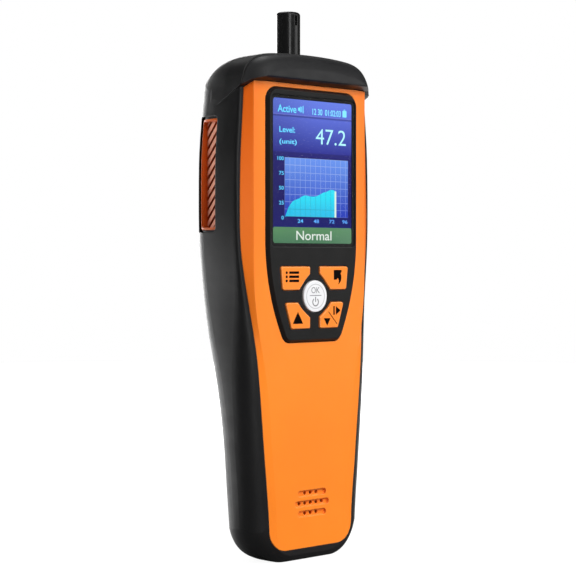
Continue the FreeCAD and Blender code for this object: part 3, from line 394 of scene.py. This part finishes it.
# rows of the picture, up from the lower edge of the lit area
Z_BAR = LZ0 + 6.4
Z_SPLIT = LZ0 + 35.9
Z_HEAD = LZ0 + 50.8
PX0, PX1 = CX - 15.44, CX + 19.62
PZ0, PZ1 = LZ0 + 10.66, LZ0 + 34.2


def display():
    s = Shade("display_blue")
    x, y, z = s.xyz()
    up = s.rng(z, LZ0, LZ1, kind="LINEAR")
    side = s.rng(x, LX0 - 2.0, CX + 6.0)
    # page behind everything
    n = s.nt.nodes.new("ShaderNodeValToRGB")
    n.color_ramp.elements[0].position = 0.10
    n.color_ramp.elements[0].color = lin(22, 24, 112)
    n.color_ramp.elements[1].position = 1.0
    n.color_ramp.elements[1].color = lin(112, 138, 248)
    for pos, c in ((0.30, lin(28, 26, 104)), (0.60, lin(38, 34, 116)), (0.64, lin(54, 58, 160)), (0.74, lin(74, 88, 192)), (0.87, lin(98, 116, 226))):
        e = n.color_ramp.elements.new(pos)
        e.color = c
    s.nt.links.new(up, n.inputs[0])
    page = s.mix(s.math("MULTIPLY", s.math("SUBTRACT", 1.0, side), 0.30), n.outputs[0], lin(40, 36, 104))
    # the chart with its grid
    inx = s.band(x, PX0, PX1, 0.04)
    inz = s.band(z, PZ0, PZ1, 0.04)
    chart = s.math("MULTIPLY", inx, inz)
    t = s.rng(z, PZ0, PZ1, kind="LINEAR")
    body = s.mix(s.math("POWER", t, 1.25), lin(34, 54, 190), lin(116, 164, 255))
    glow = s.math("MULTIPLY", s.rng(x, PX0, CX + 4.0), s.rng(x, CX + 4.0, PX1, 1.0, 0.25))
    body = s.mix(s.math("MULTIPLY", glow, 0.22), body, lin(96, 132, 255))
    gx = s.math("PINGPONG", s.math("SUBTRACT", x, PX0), 2.804 / 2)
    gz = s.math("PINGPONG", s.math("SUBTRACT", z, PZ0), 2.9425 / 2)
    grid = s.math("MAXIMUM", s.band(gx, -1.0, 0.11, 0.05), s.band(gz, -1.0, 0.12, 0.05))
    strong = s.math("ADD", 0.30, s.math("MULTIPLY", t, 0.42))
    body = s.mix(s.math("MULTIPLY", grid, strong), body, lin(176, 200, 255))
    pic = s.mix(chart, page, body)
    # soft shaded lines between the rows
    for zz, w, k in ((Z_HEAD, 0.35, 0.55), (Z_SPLIT, 0.5, 0.45), (Z_SPLIT - 1.2, 0.3, 0.20)):
        pic = s.mix(s.math("MULTIPLY", s.band(z, zz - w, zz + w, 0.25), k), pic, lin(34, 30, 96))
    pic = s.mix(s.math("MULTIPLY", s.band(z, Z_HEAD + 0.35, Z_HEAD + 0.7, 0.2), 0.35), pic, lin(150, 150, 250))
    # faint cells of the liquid crystal
    cell = s.math("PINGPONG", z, 0.12)
    pic = s.mix(s.math("MULTIPLY", s.band(cell, 0.0, 0.03, 0.02), 0.10), pic, lin(10, 10, 40))
    s.p.inputs["Base Color"].default_value = (0.004, 0.004, 0.006, 1.0)
    s.p.inputs["Specular IOR Level"].default_value = 0.06
    lit = s.math("MULTIPLY", s.band(x, LX0, LX1, 0.02), s.band(z, LZ0, LZ1, 0.02))
    s.set(Emission_Color=s.mix(lit, (0.0, 0.0, 0.0, 1.0), pic))
    s.p.inputs["Emission Strength"].default_value = 1.0
    s.set(Roughness=s.rng(s.noise(120.0, 2.0), 0.3, 0.7, 0.30, 0.38))
    return s.m


def lamp_text(name, a, b, strength=1.0):
    """Lit characters: brighter at the core of the display, a touch dimmer at the left."""
    s = Shade(name)
    x, y, z = s.xyz()
    cell = s.math("PINGPONG", x, 0.12)
    col = s.mix(s.rng(x, CX - 16.0, CX + 6.0), a, b)
    col = s.mix(s.math("MULTIPLY", s.band(cell, 0.0, 0.03, 0.02), 0.12), col, lin(30, 60, 160))
    s.p.inputs["Base Color"].default_value = (0.01, 0.01, 0.012, 1.0)
    s.set(Emission_Color=col)
    s.p.inputs["Emission Strength"].default_value = strength
    s.p.inputs["Roughness"].default_value = 0.4
    return s.m


def cyan_fill():
    s = Shade("chart_cyan")
    x, y, z = s.xyz()
    gx = s.math("PINGPONG", s.math("SUBTRACT", x, PX0), 2.804 / 2)
    gz = s.math("PINGPONG", s.math("SUBTRACT", z, PZ0), 2.9425 / 2)
    col = s.mix(s.rng(z, PZ0, PZ0 + 10.0), lin(0, 196, 240), lin(0, 232, 255))
    col = s.mix(s.math("MULTIPLY", s.band(gx, -1.0, 0.13, 0.07), 0.55), col, lin(8, 150, 190))
    low = s.math("MULTIPLY", s.band(gz, -1.0, 0.12, 0.06), s.rng(z, PZ0 + 3.6, PZ0 + 3.0, 0.0, 1.0))
    col = s.mix(s.math("MULTIPLY", low, 0.6), col, lin(8, 140, 180))
    s.p.inputs["Base Color"].default_value = (0.004, 0.01, 0.012, 1.0)
    s.set(Emission_Color=col)
    s.p.inputs["Emission Strength"].default_value = 1.0
    s.p.inputs["Roughness"].default_value = 0.4
    return s.m


def green_fill():
    s = Shade("status_green")
    x, y, z = s.xyz()
    n = s.noise(60.0, 2.0)
    col = s.mix(s.rng(z, LZ0, Z_BAR), lin(66, 122, 84), lin(84, 142, 92))
    col = s.mix(s.math("MULTIPLY", s.rng(n, 0.35, 0.7), 0.25), col, lin(60, 112, 84))
    col = s.mix(s.rng(x, CX + 4.0, LX1, 0.0, 0.35), col, lin(104, 150, 116))
    s.p.inputs["Base Color"].default_value = (0.004, 0.008, 0.004, 1.0)
    s.set(Emission_Color=col)
    s.p.inputs["Emission Strength"].default_value = 1.0
    s.p.inputs["Roughness"].default_value = 0.4
    return s.m


M["window_clear"] = window()
M["display_blue"] = display()
M["board_green"] = board()
M["ribbon_amber"] = ribbon()
M["mesh_dark"] = mesh_gauze()
M["hose_clear"] = hose()
TEXT_WHITE = lamp_text("text_white", lin(150, 228, 255), lin(178, 246, 255), 1.15)
TEXT_CYAN = lamp_text("text_cyan", lin(96, 214, 255), lin(124, 222, 255), 1.3)
TEXT_AXIS = lamp_text("text_axis", lin(80, 204, 255), lin(80, 160, 250), 1.25)
TEXT_STATUS = lamp_text("text_status", lin(232, 244, 232), lin(238, 246, 238), 1.0)
CURSOR = lamp_text("cursor_white", lin(236, 255, 236), lin(236, 255, 236), 1.0)
CYAN = cyan_fill()
GREEN = green_fill()
INK = moulded("legend_ink", lin(7, 5, 5), 0.6, 5000.0, 0.000006, 0.2, 0.2, None, spec=0.08)
INK_GREY = moulded("legend_grey", lin(128, 128, 130), 0.5, 5000.0, 0.000006, 0.2, 0.08, None, spec=0.3)

for name, obj in NODES.items():
    slot = next(sp["material_slot"] for sp in frame["record"]["subparts"] if sp["node"] == name) \
        if "subparts" in frame["record"] else None
    if slot is None or slot not in M:
        continue
    if not obj.material_slots:
        obj.data.materials.append(M[slot])
    for ms in obj.material_slots:
        ms.material = M[slot]


# ---------------------------------------------------------------- thin printed and lit shapes
def ring_faces(bm, verts):
    try:
        return bm.faces.new(verts)
    except ValueError:
        return None


def plates(name, loops, y0, y1, mat, body):
    """Closed plates between depths y0 and y1 (mm); each loop is an XZ outline (mm)."""
    me = bpy.data.meshes.new(name)
    bm = bmesh.new()
    for pts in loops:
        area = sum(a[0] * b[1] - b[0] * a[1] for a, b in zip(pts, pts[1:] + pts[:1]))
        if area < 0:
            pts = list(reversed(pts))
        f = [bm.verts.new((x * MM, y0 * MM, z * MM)) for x, z in pts]
        b = [bm.verts.new((x * MM, y1 * MM, z * MM)) for x, z in pts]
        bm.faces.new(f)
        bm.faces.new(list(reversed(b)))
        n = len(pts)
        for i in range(n):
            j = (i + 1) % n
            bm.faces.new((f[j], f[i], b[i], b[j]))
    bmesh.ops.recalc_face_normals(bm, faces=bm.faces)
    bmesh.ops.triangulate(bm, faces=[f for f in bm.faces if len(f.verts) > 4])
    bm.to_mesh(me)
    bm.free()
    me.materials.append(mat)
    o = bpy.data.objects.new(name, me)
    bpy.context.scene.collection.objects.link(o)
    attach(o, body)
    return o


def clipped(poly, axis, limit, keep_above):
    """Part of a convex outline on one side of a line across the given axis."""
    out = []
    for a, b in zip(poly, poly[1:] + poly[:1]):
        ia = a[axis] >= limit if keep_above else a[axis] <= limit
        ib = b[axis] >= limit if keep_above else b[axis] <= limit
        if ia:
            out.append(a)
        if ia != ib:
            t = (limit - a[axis]) / (b[axis] - a[axis])
            out.append((a[0] + t * (b[0] - a[0]), a[1] + t * (b[1] - a[1])))
    return out


def blades(name, sign, x0, x1, mat, body):
    """Closed louvre blades that carry on outwards from the ones in the tray floor; YZ outlines (mm)."""
    me = bpy.data.meshes.new(name)
    bm = bmesh.new()
    c, d = math.cos(math.radians(48.0)), math.sin(math.radians(48.0))
    zc = 104.6
    while zc < 207.1:
        poly = []
        for u, v in ((-40.0, -0.8), (40.0, -0.8), (40.0, 0.8), (-40.0, 0.8)):
            poly.append((8.649 + u * c + v * d, zc - u * d + v * c))
        for axis, limit, above in ((0, 2.52, True), (0, 13.23, False), (1, 134.52, True), (1, 177.18, False)):
            poly = clipped(poly, axis, limit, above) if len(poly) > 2 else []
        wide = max((p[0] for p in poly), default=0.0) - min((p[0] for p in poly), default=0.0)
        if wide > 1.2:
            a = [bm.verts.new((sign * x0 * MM, y * MM, z * MM)) for y, z in poly]
            b = [bm.verts.new((sign * x1 * MM, y * MM, z * MM)) for y, z in poly]
            bm.faces.new(a)
            bm.faces.new(list(reversed(b)))
            n = len(poly)
            for i in range(n):
                j = (i + 1) % n
                bm.faces.new((a[j], a[i], b[i], b[j]))
        zc += 4.05
    bmesh.ops.recalc_face_normals(bm, faces=bm.faces)
    bm.to_mesh(me)
    bm.free()
    me.materials.append(mat)
    o = bpy.data.objects.new(name, me)
    bpy.context.scene.collection.objects.link(o)
    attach(o, body)
    return o


blades("left_vent_blades", -1.0, 29.45, SLAT_OUT, M["louvre_blade"], "housing")
blades("right_vent_blades", 1.0, 29.45, SLAT_OUT, M["louvre_blade"], "housing")


def hollow(name, outer, inner, y0, y1, mat, body):
    """Closed plate with one hole; outer and inner have the same number of points."""
    me = bpy.data.meshes.new(name)
    bm = bmesh.new()
    rows = []
    for pts, y in ((outer, y0), (inner, y0), (inner, y1), (outer, y1)):
        rows.append([bm.verts.new((x * MM, y * MM, z * MM)) for x, z in pts])
    n = len(outer)
    for k in range(4):
        a, b = rows[k], rows[(k + 1) % 4]
        for i in range(n):
            j = (i + 1) % n
            bm.faces.new((a[i], a[j], b[j], b[i]))
    bmesh.ops.recalc_face_normals(bm, faces=bm.faces)
    bm.to_mesh(me)
    bm.free()
    me.materials.append(mat)
    o = bpy.data.objects.new(name, me)
    bpy.context.scene.collection.objects.link(o)
    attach(o, body)
    return o


def lettering(name, rows, y0, y1, mat, body):
    """Words and numbers as closed plates. rows: (text, x0, x1, z0, z1), the box that each fills."""
    bm = bmesh.new()
    for text, x0, x1, z0, z1 in rows:
        cu = bpy.data.curves.new("t", "FONT")
        cu.body = text
        cu.size = 1.0
        cu.resolution_u = 4
        cu.extrude = 0.5
        cu.fill_mode = "BOTH"
        cu.offset = LETTER_WEIGHT
        ob = bpy.data.objects.new("t", cu)
        bpy.context.scene.collection.objects.link(ob)
        bpy.context.view_layer.update()
        me = bpy.data.meshes.new_from_object(ob.evaluated_get(bpy.context.evaluated_depsgraph_get()))
        xs = [v.co.x for v in me.vertices]
        ys = [v.co.y for v in me.vertices]
        ax, bx, ay, by = min(xs), max(xs), min(ys), max(ys)
        for v in me.vertices:
            u = (v.co.x - ax) / (bx - ax)
            w = (v.co.y - ay) / (by - ay)
            d = 0.0 if v.co.z > 0 else 1.0
            v.co = ((x0 + u * (x1 - x0)) * MM, (y0 + d * (y1 - y0)) * MM, (z0 + w * (z1 - z0)) * MM)
        bm.from_mesh(me)
        bpy.data.meshes.remove(me)
        bpy.data.objects.remove(ob)
        bpy.data.curves.remove(cu)
    bmesh.ops.remove_doubles(bm, verts=bm.verts, dist=1e-7)
    bmesh.ops.dissolve_degenerate(bm, edges=bm.edges, dist=1e-8)
    bmesh.ops.recalc_face_normals(bm, faces=bm.faces)
    me = bpy.data.meshes.new(name)
    bm.to_mesh(me)
    bm.free()
    me.materials.append(mat)
    o = bpy.data.objects.new(name, me)
    bpy.context.scene.collection.objects.link(o)
    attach(o, body)
    return o


def circle(cx, cz, r, n=32, a0=0.0, a1=360.0, closed=True):
    steps = n if closed else n + 1
    return [(cx + r * math.cos(math.radians(a0 + (a1 - a0) * i / n)),
             cz + r * math.sin(math.radians(a0 + (a1 - a0) * i / n))) for i in range(steps)]


def rrect(x0, x1, z0, z1, r, n=5):
    pts = []
    for cx, cz, a in ((x1 - r, z0 + r, -90), (x1 - r, z1 - r, 0), (x0 + r, z1 - r, 90), (x0 + r, z0 + r, 180)):
        pts += [(cx + r * math.cos(math.radians(a + 90.0 * i / n)), cz + r * math.sin(math.radians(a + 90.0 * i / n))) for i in range(n + 1)]
    return pts


# depths in the space between the window and the lit face
GLASS_BACK = W_HI.y / MM
D_LIT = GLASS_BACK + 0.27
T0, T1 = D_LIT - 0.09, D_LIT - 0.05       # characters
A0, A1 = D_LIT - 0.045, D_LIT - 0.01      # filled areas

LETTER_WEIGHT = -0.003
Z = LZ0
screen_digits = lettering("screen_digits", [("47.2", CX + 1.4, CX + 18.3, Z + 40.2, Z + 46.5)], T0, T1, TEXT_WHITE, "housing")
LETTER_WEIGHT = 0.012
lettering("screen_labels", [
    ("Active", CX - 19.2, CX - 9.2, Z + 52.1, Z + 55.0),
    ("12 30  01:02:03", CX - 0.4, CX + 15.4, Z + 52.0, Z + 54.5),
    ("Level:", CX - 18.3, CX - 9.9, Z + 44.1, Z + 46.4),
    ("(unit)", CX - 18.3, CX - 9.0, Z + 39.0, Z + 41.5),
], T0, T1, TEXT_CYAN, "housing")
axis = []
for txt, zz, w in (("100", 33.7, 3.3), ("75", 27.85, 2.5), ("50", 21.95, 2.5), ("25", 16.05, 2.5), ("0", 10.1, 1.2)):
    axis.append((txt, CX - 16.0 - w, CX - 16.0, Z + zz - 0.75, Z + zz + 0.75))
for txt, xx in (("24", -7.0), ("48", 1.7), ("72", 10.4), ("96", 17.8)):
    axis.append((txt, CX + xx - 1.5, CX + xx + 1.5, Z + 8.2, Z + 9.7))
lettering("screen_axis_numbers", axis, T0, T1, TEXT_AXIS, "housing")
LETTER_WEIGHT = 0.004
lettering("screen_status_word", [("Normal", CX - 9.2, CX + 10.2, Z + 1.25, Z + 5.0)], T0, T1, TEXT_STATUS, "housing")

# curve of the readings, filled down to the axis
top = [(-15.24, 10.4), (-14.2, 12.6), (-13.4, 14.2), (-12.46, 15.4), (-11.3, 16.6), (-10.14, 17.2), (-9.0, 17.55), (-7.8, 17.9), (-6.3, 18.7), (-4.87, 19.2),
       (-3.7, 19.25), (-2.5, 19.05), (-1.3, 18.9), (-0.13, 18.85), (1.1, 19.0), (2.26, 19.2), (3.5, 19.7), (4.66, 20.25), (5.9, 20.75), (7.07, 20.95),
       (8.3, 21.4), (9.49, 21.85), (10.6, 21.95), (11.62, 21.75), (12.3, 21.45)]
area = [(CX + x, Z + z) for x, z in top]
area += [(CX + 12.3, PZ0), (PX0 + 0.05, PZ0)]
plates("screen_readings", [area], A0, A1, CYAN, "housing")
plates("screen_cursor", [rrect(CX + 12.0, CX + 12.9, PZ0, Z + 21.4, 0.1, 2)], T0, T1, CURSOR, "housing")
plates("screen_status_bar", [rrect(LX0, LX1, LZ0, Z_BAR, 0.9, 5)], A0, A1, GREEN, "housing")
# battery and muted-speaker signs in the top row
bat = [rrect(CX + 16.4, CX + 18.7, Z + 52.0, Z + 54.7, 0.3, 3), rrect(CX + 17.1, CX + 18.0, Z + 54.85, Z + 55.2, 0.1, 2)]
mute = [[(CX - 8.3, Z + 53.1), (CX - 7.6, Z + 53.1), (CX - 6.9, Z + 52.4), (CX - 6.9, Z + 55.0), (CX - 7.6, Z + 54.3), (CX - 8.3, Z + 54.3)],
        rrect(CX - 6.5, CX - 6.1, Z + 52.6, Z + 54.8, 0.15, 2), rrect(CX - 5.7, CX - 5.35, Z + 52.2, Z + 55.2, 0.15, 2)]
plates("screen_signs", bat + mute, T0, T1, TEXT_CYAN, "housing")

# ---------------------------------------------------------------- legends on the keys
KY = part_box("menu_key")[0].y / MM
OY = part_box("ok_key")[0].y / MM
K0, K1 = KY - 0.03, KY + 0.04
O0, O1 = OY - 0.03, OY + 0.04

rows = []
for zz in (116.5, 114.85, 113.2):
    rows.append(circle(-15.55, zz, 0.56, 16))
    rows.append(rrect(-14.2, -8.9, zz - 0.5, zz + 0.5, 0.25, 3))
plates("menu_key_legend", rows, K0, K1, INK, "menu_key_cap")
hook = [(10.3, 117.5), (14.7, 117.5), (14.7, 116.7), (14.1, 116.1), (14.55, 115.2), (14.6, 114.1), (14.3, 113.0), (13.6, 112.1), (12.7, 111.5),
        (13.1, 112.3), (13.2, 113.1), (12.95, 113.75), (12.5, 114.2), (11.9, 113.5), (10.3, 113.5)]
plates("back_key_legend", [hook], K0, K1, INK, "back_key_cap")
plates("up_key_legend", [[(-9.51, 100.8), (-12.3, 95.95), (-6.7, 95.95)]], K0, K1, INK, "up_key_cap")
slash = [(7.25, 100.35), (7.55, 100.55), (12.35, 95.45), (12.05, 95.25)]
plates("down_key_legend", [rrect(10.05, 10.85, 99.15, 102.7, 0.15, 2), [(11.5, 102.7), (14.1, 100.9), (11.5, 99.1)],
                           slash, [(4.7, 97.9), (8.4, 97.8), (6.6, 94.75)]], K0, K1, INK, "down_key_cap")
LETTER_WEIGHT = 0.0
lettering("ok_key_word", [("OK", -2.3, 2.3, 108.1, 110.6)], O0, O1, INK_GREY, "ok_key_cap")
arc_o = circle(0, 104.55, 1.78, 40, 128, 412, closed=False)
arc_i = circle(0, 104.55, 1.30, 40, 128, 412, closed=False)
plates("ok_key_sign", [rrect(-3.2, 3.2, 107.05, 107.35, 0.1, 2), arc_o + list(reversed(arc_i)), rrect(-0.24, 0.24, 104.6, 106.7, 0.2, 3)],
       O0, O1, INK_GREY, "ok_key_cap")

# ---------------------------------------------------------------- room, light and camera
def stage_plane(name, verts, mat):
    me = bpy.data.meshes.new(name)
    me.from_pydata(verts, [], [tuple(range(len(verts)))])
    me.materials.append(mat)
    o = bpy.data.objects.new(name, me)
    bpy.context.scene.collection.objects.link(o)
    return o


def pale(name, emit):
    s = Shade(name)
    n = s.noise(3.0, 3.0)
    front = s.mix(s.rng(n, 0.3, 0.7), (0.11, 0.11, 0.11, 1), (0.14, 0.14, 0.14, 1))
    back = s.mix(s.rng(n, 0.3, 0.7), (0.80, 0.80, 0.80, 1), (0.86, 0.86, 0.86, 1))
    s.set(Base_Color=s.mix(s.rng(s.xyz()[1], 60.0, 420.0), front, back))
    s.p.inputs["Roughness"].default_value = 0.9
    s.p.inputs["Specular IOR Level"].default_value = 0.1
    s.p.inputs["Emission Color"].default_value = (1.0, 1.0, 1.0, 1.0)
    # the paper under the object is lit from below for the camera only, like the white behind it
    path = s.nt.nodes.new("ShaderNodeLightPath")
    fx, fy, fz = s.xyz()
    # the glow stays behind a line that runs back and to the left, so the side goes dark towards the seam
    line = s.math("SUBTRACT", fy, s.math("MULTIPLY", s.math("MAXIMUM", s.math("SUBTRACT", -30.0, fx), 0.0), 0.42))
    table = s.math("MULTIPLY", s.rng(line, -5.0, 65.0), 1.35)
    seen = path.outputs["Is Camera Ray"]
    s.set(Emission_Strength=s.math("ADD", s.math("MULTIPLY", seen, emit), s.math("MULTIPLY", s.math("SUBTRACT", 1.0, seen), table)))
    return s.m


ring = [(1.25 * math.cos(2 * math.pi * i / 72), 1.25 * math.sin(2 * math.pi * i / 72), 0.0) for i in range(72)]
stage_plane("floor", ring, pale("floor_pale", 0.93))

world = bpy.data.worlds.new("studio")
bpy.context.scene.world = world
world.use_nodes = True
wt = world.node_tree
bg = wt.nodes["Background"]
bg.inputs["Color"].default_value = (1.0, 1.0, 1.0, 1.0)
bg.inputs["Strength"].default_value = 0.04
paper = wt.nodes.new("ShaderNodeBackground")
paper.inputs["Color"].default_value = (1.0, 1.0, 1.0, 1.0)
paper.inputs["Strength"].default_value = 1.0
lp = wt.nodes.new("ShaderNodeLightPath")
mx = wt.nodes.new("ShaderNodeMixShader")
wt.links.new(lp.outputs["Is Camera Ray"], mx.inputs[0])
wt.links.new(bg.outputs[0], mx.inputs[1])
wt.links.new(paper.outputs[0], mx.inputs[2])
wt.links.new(mx.outputs[0], wt.nodes["World Output"].inputs["Surface"])


def area_light(name, loc, target, size_x, size_y, radiance):
    """Softbox of a given brightness, so that its size can change without its gloss."""
    li = bpy.data.lights.new(name, "AREA")
    li.shape = "RECTANGLE"
    li.size, li.size_y = size_x, size_y
    li.energy = radiance * math.pi * size_x * size_y
    o = bpy.data.objects.new(name, li)
    bpy.context.scene.collection.objects.link(o)
    o.location = loc
    o.rotation_mode = "QUATERNION"
    o.rotation_quaternion = (Vector(target) - Vector(loc)).to_track_quat("-Z", "Y")
    return o


key = area_light("key_softbox", (0.42, -1.33, 1.22), (0, 0, 0.11), 1.8, 1.5, 4.75)
key.visible_glossy = False
area_light("key_sheen", (-0.10, -1.35, 1.30), (0, 0, 0.11), 1.9, 1.5, 1.0)
fill = area_light("left_fill", (-1.60, 0.55, 0.35), (0, 0, 0.14), 1.0, 1.0, 3.6)
fill.visible_glossy = False
area_light("front_card", (1.10, -1.15, 0.22), (0, 0, 0.12), 0.9, 0.9, 1.5)
area_light("front_strip", (-0.70, -1.60, 0.35), (0, 0, 0.12), 0.28, 1.6, 4.5)
area_light("rear_card", (0.56, 1.85, 0.28), (0, 0, 0.12), 1.9, 1.1, 6.0)
area_light("top_card", (0.25, 0.75, 1.75), (0, 0, 0.12), 1.0, 0.9, 3.0)

cam = bpy.data.cameras.new("camera")
cam.sensor_width = 36.0
cam.lens = 97.35
cam.clip_start, cam.clip_end = 0.01, 50.0
co = bpy.data.objects.new("camera", cam)
bpy.context.scene.collection.objects.link(co)
co.location = (-0.42917, -0.47877, 0.1205)
pitch = math.radians(-0.934)
aim = Vector((0.6678 * math.cos(pitch), 0.7443 * math.cos(pitch), math.sin(pitch)))
co.rotation_mode = "QUATERNION"
co.rotation_quaternion = aim.to_track_quat("-Z", "Y")
bpy.context.scene.camera = co
bpy.context.scene.view_settings.view_transform = "Standard"
